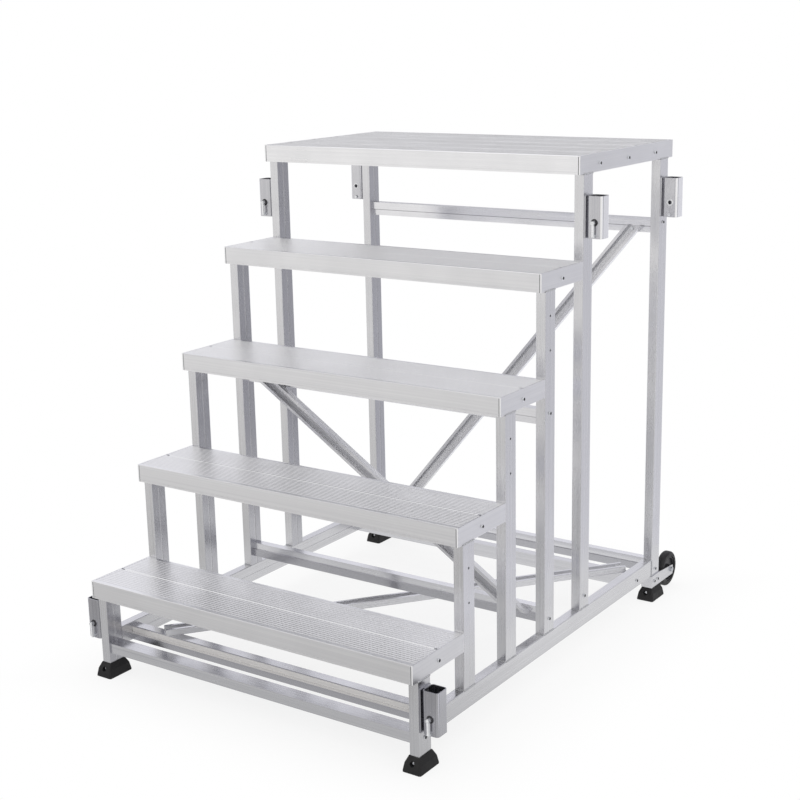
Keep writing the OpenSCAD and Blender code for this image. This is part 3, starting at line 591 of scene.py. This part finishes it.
class PLATFORM_OT_cross_members(bpy.types.Operator):
    """Finishes the cross rails and the diagonal braces"""
    bl_idname = "platform.cross_members"
    bl_label = "Cross members"

    def execute(self, context):
        # Painted shadow under the step of a high rail, and painted shade on a low rail below its
        # step
        step_shades = []
        for name in STEPPED_RAILS:
            low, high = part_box(name)
            if "low" in name:
                dull, tone = (low.z - MARK, high.z - RAIL_STEP), "#BEBEC3"
            else:
                dull, tone = (low.z + RAIL_STEP - MARK, low.z + RAIL_STEP), "#9C9CA1"
            step_shades.append(({"Y": (low.y - MARK, high.y + MARK), "Z": dull}, linear(tone), 0.9))
        paint(STEPPED_RAILS,
              extruded_aluminium("extruded_aluminium_stepped_rail", ALONG_X, linear("#EEEEF1"),
                                 linear("#E0E0E4"), (0.16, 0.3), step_shades))
        # The front of the front base rail has painted shade below and painted highlights above,
        # in shares of its height
        low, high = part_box("front_base_rail")
        height = high.z - low.z
        shade_and_highlight_bands = [({"Y": (low.y - FACE, low.y + FACE),
                   "Z": (low.z + bottom * height, low.z + top * height)}, linear(tone), share)
                 for bottom, top, tone, share in ((0.0, 0.42, "#C4C4C9", 1.0),
                                                  (0.42, 0.6, "#FAF7F4", 0.75),
                                                  (0.6, 0.92, "#FAF7F4", 0.25))]
        paint(PLAIN_RAILS,
              extruded_aluminium("extruded_aluminium_plain_rail", ALONG_X, linear("#DEDEE1"),
                                 linear("#D0D0D4"), (0.16, 0.3), shade_and_highlight_bands))
        for name, rise in (("middle_brace", -1), ("rear_brace", 1), ("floor_brace", 0)):
            low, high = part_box(name)
            size = high - low
            # Painted light behind its lips: the channel there is matt and pale
            if rise == 0:
                along = Vector((size.x, size.y, 0))
                lit_hollow = {"Z": (low.z + 0.6 * BRACE_WALL, high.z - 0.6 * BRACE_WALL)}
            else:
                along = Vector((size.x, 0, rise * size.z))
                lit_hollow = {"Y": (low.y + 1.2 * BRACE_WALL, high.y - 0.6 * BRACE_WALL)}
            paint([name], extruded_aluminium(f"extruded_aluminium_{name}", along.normalized(),
                                             linear("#E0E0E3"), linear("#D2D2D6"), (0.18, 0.32),
                                             [(lit_hollow, linear("#ECECEF"), 0.35)]))
        return {"FINISHED"}


class PLATFORM_OT_weld_beads(bpy.types.Operator):
    """Runs weld beads along the joints of the side frames"""
    bl_idname = "platform.weld_beads"
    bl_label = "Weld beads"

    def execute(self, context):
        props = settings()
        paths = trim_mesh("weld_paths", welded_edges(), paired=True)
        beads = grown(paths, bead_tree(welded_aluminium()),
                      bead_radius=props.bead_radius, ripple_pitch=props.ripple_pitch)
        place(beads, "weld_beads")
        return {"FINISHED"}


class PLATFORM_OT_handrail_sockets(bpy.types.Operator):
    """Finishes the handrail sockets, their locking pins and the drop noses"""
    bl_idname = "platform.handrail_sockets"
    bl_label = "Handrail sockets"

    def execute(self, context):
        props = settings()
        # Lit and shaded copies of one finish: the front sockets are painted darker than those at the
        # platform, and the outer sides get a painted highlight
        for spot, light, dark, highlight in (("front", "#BCBCC1", "#A8A8AE", "#C6C6CB"),
                                          ("top", "#CCCCD0", "#BABABF", "#F0F0F2"),
                                          ("rear", "#D4D4D8", "#C3C3C8", "#F2F2F4")):
            pair = [f"socket_{spot}_{side}" for side in SIDES]
            outer = (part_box(pair[0])[0].x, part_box(pair[1])[1].x)
            sides = [({"X": (x - SOCKET_CORNER, x + SOCKET_CORNER)}, linear(highlight), 1.0)
                     for x in outer]
            paint(pair, extruded_aluminium(f"extruded_aluminium_{spot}_socket", ALONG_Z,
                                           linear(light), linear(dark), (0.18, 0.34), sides))
        paint(["locking_pins", "nose_pivots"],
              zinc_plated_steel("bright_zinc_plated_steel", linear("#F2F3F5"), linear("#DCDEE2")))
        frosty = zinc_plated_steel("frosty_zinc_plated_steel", linear("#FAFAFB"), linear("#EEEFF1"),
                                   share=0.35)
        paint(NOSES, frosty)
        # The empty holes have a bright rolled rim; round the ones with a pin a dark ring stands
        # for the shade about the pin
        shade_ring = moulded("pin_shade_ring", linear("#3A393D"), linear("#29282C"), (0.4, 0.6),
                       grain_size=1.0 * MM, depth=0.1 * MM)
        for name, empty, finish, slot in (("pin_hole_eyelets", True, frosty, "zinc_steel"),
                                          ("pin_shade_rings", False, shade_ring, "hub_plastic")):
            rings = grown(trim_mesh("ring_points", pin_hole_mouths(empty)), eyelet_tree(finish),
                          ring_radius=props.ring_radius, roll_radius=props.roll_radius)
            place(rings, name)
        return {"FINISHED"}


class PLATFORM_OT_feet(bpy.types.Operator):
    """Finishes the rubber feet"""
    bl_idname = "platform.feet"
    bl_label = "Feet"

    def execute(self, context):
        props = settings()
        paint(FEET, moulded("moulded_black_rubber", props.rubber_light, props.rubber_dark,
                            (0.5, 0.7), grain_size=1.2 * MM, depth=0.25 * MM))
        return {"FINISHED"}


class PLATFORM_OT_wheels(bpy.types.Operator):
    """Finishes the transport wheels, their forks and axles"""
    bl_idname = "platform.wheels"
    bl_label = "Wheels"

    def execute(self, context):
        props = settings()
        paint([f"wheel_tyre_{side}" for side in SIDES],
              moulded("solid_tyre_rubber", linear("#1B1A1E"), linear("#0E0D0F"), (0.45, 0.65),
                      grain_size=0.8 * MM, depth=0.15 * MM))
        paint([f"wheel_hub_{side}" for side in SIDES],
              moulded("moulded_hub_plastic", props.hub_light, props.hub_dark, (0.35, 0.5),
                      grain_size=1.0 * MM, depth=0.1 * MM))
        paint(["wheel_forks"], extruded_aluminium("flat_bar_aluminium", ALONG_Y, linear("#DEDEE1"),
                                                  linear("#CFCFD3"), (0.24, 0.4)))
        paint(["wheel_axles"],
              zinc_plated_steel("zinc_plated_axle", linear("#D4D6DA"), linear("#B2B6BC")))
        return {"FINISHED"}


class PLATFORM_OT_fasteners(bpy.types.Operator):
    """Finishes the rivets, screws and bolts, and puts dark mandrel stubs in the rivets, wide
    enough to also paint the shade in the rivets' eyes
    """
    bl_idname = "platform.fasteners"
    bl_label = "Fasteners"

    def execute(self, context):
        props = settings()
        paint(["rivets", "socket_screws", "hex_bolts"],
              zinc_plated_steel("zinc_plated_fasteners", props.zinc_light, props.zinc_dark))
        # Dark and wider than a real mandrel: a stub is partly the mandrel and partly painted shade
        steel = moulded("mandrel_steel_and_painted_shade", linear("#26262A"), linear("#151517"), (0.4, 0.6),
                        grain_size=0.8 * MM, depth=0.1 * MM)
        seeds = trim_mesh("mandrel_lines", rivet_eyes(), paired=True)
        mandrels = grown(seeds, stub_tree(steel), stub_radius=props.mandrel_radius)
        place(mandrels, "rivet_mandrels_and_painted_shade")
        return {"FINISHED"}


class PLATFORM_OT_stage(bpy.types.Operator):
    """Sets up the floor, the lamps, the backdrop and the camera"""
    bl_idname = "platform.stage"
    bl_label = "Stage"

    def execute(self, context):
        props = settings()
        self.floor(context, props)
        self.backdrop(context, props)
        self.lamp(context, "key_lamp", spot=(3.2, 0.4, 2.6), target=(0, 0, 0.7), size=2.4,
                  power=props.key_power)
        self.lamp(context, "top_lamp", spot=(-0.6, 0.3, 4.2), target=(0, 0, 0.8), size=3.0,
                  power=props.top_power)
        self.camera(context, props)
        context.scene.view_settings.view_transform = "Standard"
        return {"FINISHED"}

    def floor(self, context, props):
        """Pale floor that keeps the object's shadow and fades into the white round it."""
        low, high = CAD_BOX
        half = [high[i] + props.floor_margin for i in (0, 1)]
        mesh = bpy.data.meshes.new("floor")
        mesh.from_pydata([(sx * half[0], sy * half[1], 0) for sx, sy in
                          ((-1, -1), (1, -1), (1, 1), (-1, 1))], [], [(0, 1, 2, 3)])
        floor = bpy.data.objects.new("floor", mesh)
        context.scene.collection.objects.link(floor)
        material = bpy.data.materials.new("pale_floor")
        material.use_nodes = True
        tree = material.node_tree
        tree.nodes.clear()
        coords = add(tree, "ShaderNodeTexCoord").outputs["Object"]
        axes = add(tree, "ShaderNodeSeparateXYZ", {"Vector": coords}).outputs
        nearness = []
        for axis, reach in zip("XY", half):
            away = add(tree, "ShaderNodeMath", {0: axes[axis]}, operation="ABSOLUTE").outputs[0]
            start = reach - FADE_MARGINS * props.floor_margin
            nearness.append(add(tree, "ShaderNodeMapRange", {"Value": away},
                                {"From Min": start, "From Max": reach,
                                 "To Min": SHADOW_SHARE, "To Max": 0.0},
                                interpolation_type="SMOOTHSTEP").outputs["Result"])
        shadow = add(tree, "ShaderNodeMath", dict(enumerate(nearness)),
                     operation="MINIMUM").outputs[0]
        plain = add(tree, "ShaderNodeMath", {1: shadow}, {0: 1.0}, operation="SUBTRACT").outputs[0]
        rays = add(tree, "ShaderNodeLightPath").outputs
        veil = add(tree, "ShaderNodeMath", {0: self.seen(tree), 1: plain},
                   operation="MULTIPLY").outputs[0]
        # In the metal the floor looks duller towards the front, as in a room lit from behind
        depth = add(tree, "ShaderNodeMapRange", {"Value": axes["Y"]},
                    {"From Min": low[1], "From Max": 0.0,
                     "To Min": MIRRORED_FLOOR[0], "To Max": MIRRORED_FLOOR[1]})
        bright = add(tree, "ShaderNodeMath", {0: rays["Is Camera Ray"], 1: depth.outputs["Result"]},
                     operation="MAXIMUM").outputs[0]
        matt = add(tree, "ShaderNodeBsdfDiffuse", values={"Color": props.floor_colour})
        glow = add(tree, "ShaderNodeEmission", {"Strength": bright}, {"Color": (1, 1, 1, 1)})
        mix = add(tree, "ShaderNodeMixShader", {"Fac": veil, 1: matt.outputs[0], 2: glow.outputs[0]})
        add(tree, "ShaderNodeOutputMaterial", {"Surface": mix.outputs[0]})
        mesh.materials.append(material)

    def seen(self, tree):
        """1 for rays from the camera, also by way of metal or glass, and 0 for plain light."""
        rays = add(tree, "ShaderNodeLightPath").outputs
        level = rays["Is Camera Ray"]
        for kind in ("Is Glossy Ray", "Is Transmission Ray"):
            level = add(tree, "ShaderNodeMath", {0: level, 1: rays[kind]},
                        operation="MAXIMUM").outputs[0]
        return level

    def backdrop(self, context, props):
        """White room, in which the metal finds a dark wall at the right and a duller front floor."""
        world = bpy.data.worlds.new("studio")
        world.use_nodes = True
        context.scene.world = world
        tree = world.node_tree
        tree.nodes.clear()
        axes = add(tree, "ShaderNodeSeparateXYZ",
                   {"Vector": add(tree, "ShaderNodeTexCoord").outputs["Generated"]}).outputs

        def shade(axis, start, end, first, last):
            """Level that goes from first to last between two values of a ray's unit direction."""
            return add(tree, "ShaderNodeMapRange", {"Value": axes[axis]},
                       {"From Min": start, "From Max": end, "To Min": first, "To Max": last},
                       interpolation_type="SMOOTHSTEP").outputs["Result"]

        def both(first, second, operation):
            """Two levels as one."""
            return add(tree, "ShaderNodeMath", {0: first, 1: second}, operation=operation).outputs[0]

        wall = both(shade("X", 0.28, 0.42, 1.0, 0.75), shade("Z", -0.42, -0.22, 1.0, 0.6), "MAXIMUM")
        wall = both(wall, shade("X", 0.55, 0.7, 1.0, 0.4), "MULTIPLY")
        wall = both(wall, shade("Y", 0.25, 0.6, 1.0, 0.0), "MAXIMUM")
        horizon = both(shade("Z", 0.0, 0.08, 1.0, 0.35), shade("Z", 0.06, 0.2, 0.2, 0.75), "MAXIMUM")
        horizon = both(horizon, shade("Z", 0.26, 0.36, 0.0, 1.0), "MAXIMUM")
        ceiling = shade("Z", 0.5, 0.8, 1.0, 0.65)
        front = both(shade("Z", -0.40, -0.13, 0.5, 1.0), shade("Y", -0.4, -0.1, 0.0, 1.0), "MAXIMUM")
        level = wall
        for part in (horizon, ceiling, front):
            level = both(level, part, "MULTIPLY")
        tint = add(tree, "ShaderNodeValToRGB", {"Fac": shade("Y", -0.6, 0.6, 0.0, 1.0)})
        tint.color_ramp.elements[0].color = linear("#FFFEFC")
        tint.color_ramp.elements[1].color = linear("#F9F9FF")
        room = add(tree, "ShaderNodeBackground", {"Strength": level, "Color": tint.outputs["Color"]})
        fill = add(tree, "ShaderNodeBackground", values={"Color": (1, 1, 1, 1),
                                                         "Strength": props.fill_level})
        white = add(tree, "ShaderNodeBackground", values={"Color": (1, 1, 1, 1), "Strength": 1.0})
        mix = add(tree, "ShaderNodeMixShader",
                  {"Fac": self.seen(tree), 1: fill.outputs[0], 2: room.outputs[0]})
        rays = add(tree, "ShaderNodeLightPath").outputs
        picture = add(tree, "ShaderNodeMixShader",
                      {"Fac": rays["Is Camera Ray"], 1: mix.outputs[0], 2: white.outputs[0]})
        add(tree, "ShaderNodeOutputWorld", {"Surface": picture.outputs[0]})

    def lamp(self, context, name, spot, target, size, power):
        """Large square lamp that points at a target."""
        data = bpy.data.lights.new(name, "AREA")
        data.shape = "SQUARE"
        data.size = size
        data.energy = power
        lamp = bpy.data.objects.new(name, data)
        lamp.location = spot
        lamp.rotation_euler = (Vector(target) - Vector(spot)).to_track_quat("-Z", "Y").to_euler()
        context.scene.collection.objects.link(lamp)

    def camera(self, context, props):
        """Camera at the angle of the picture, level but for a slight roll."""
        data = bpy.data.cameras.new("camera")
        data.lens = props.lens
        data.sensor_width = SENSOR_WIDTH
        camera = bpy.data.objects.new("camera", data)
        turn = (Matrix.Rotation(props.camera_yaw, 4, "Z")
                @ Matrix.Rotation(radians(90) - props.camera_pitch, 4, "X")
                @ Matrix.Rotation(props.camera_roll, 4, "Z"))
        camera.matrix_world = Matrix.Translation(props.camera_place) @ turn
        context.scene.collection.objects.link(camera)
        context.scene.camera = camera


class PLATFORM_PT_looks(bpy.types.Panel):
    """Lists the pieces of the step platform in the order they are made"""
    bl_idname = "PLATFORM_PT_looks"
    bl_label = "Step platform"
    bl_space_type = "VIEW_3D"
    bl_region_type = "UI"
    bl_category = "Platform"

    def draw(self, context):
        for operator in OPERATORS:
            self.layout.operator(operator.bl_idname)
        for name in StepPlatformSettings.__annotations__:
            self.layout.prop(settings(), name)


OPERATORS = (PLATFORM_OT_side_frames, PLATFORM_OT_treads, PLATFORM_OT_cross_members,
             PLATFORM_OT_weld_beads, PLATFORM_OT_handrail_sockets, PLATFORM_OT_feet,
             PLATFORM_OT_wheels, PLATFORM_OT_fasteners, PLATFORM_OT_stage)
CLASSES = (StepPlatformSettings,) + OPERATORS + (PLATFORM_PT_looks,)


def register():
    """Registers the classes and hangs the settings on the scene."""
    for cls in CLASSES:
        bpy.utils.register_class(cls)
    bpy.types.Scene.step_platform = bpy.props.PointerProperty(type=StepPlatformSettings)


def unregister():
    """Takes back what register did."""
    del bpy.types.Scene.step_platform
    for cls in reversed(CLASSES):
        bpy.utils.unregister_class(cls)


def main():
    """Makes every piece in order."""
    register()
    bpy.ops.platform.side_frames()
    bpy.ops.platform.treads()
    bpy.ops.platform.cross_members()
    bpy.ops.platform.weld_beads()
    bpy.ops.platform.handrail_sockets()
    bpy.ops.platform.feet()
    bpy.ops.platform.wheels()
    bpy.ops.platform.fasteners()
    bpy.ops.platform.stage()


if __name__ == "__main__":
    main()
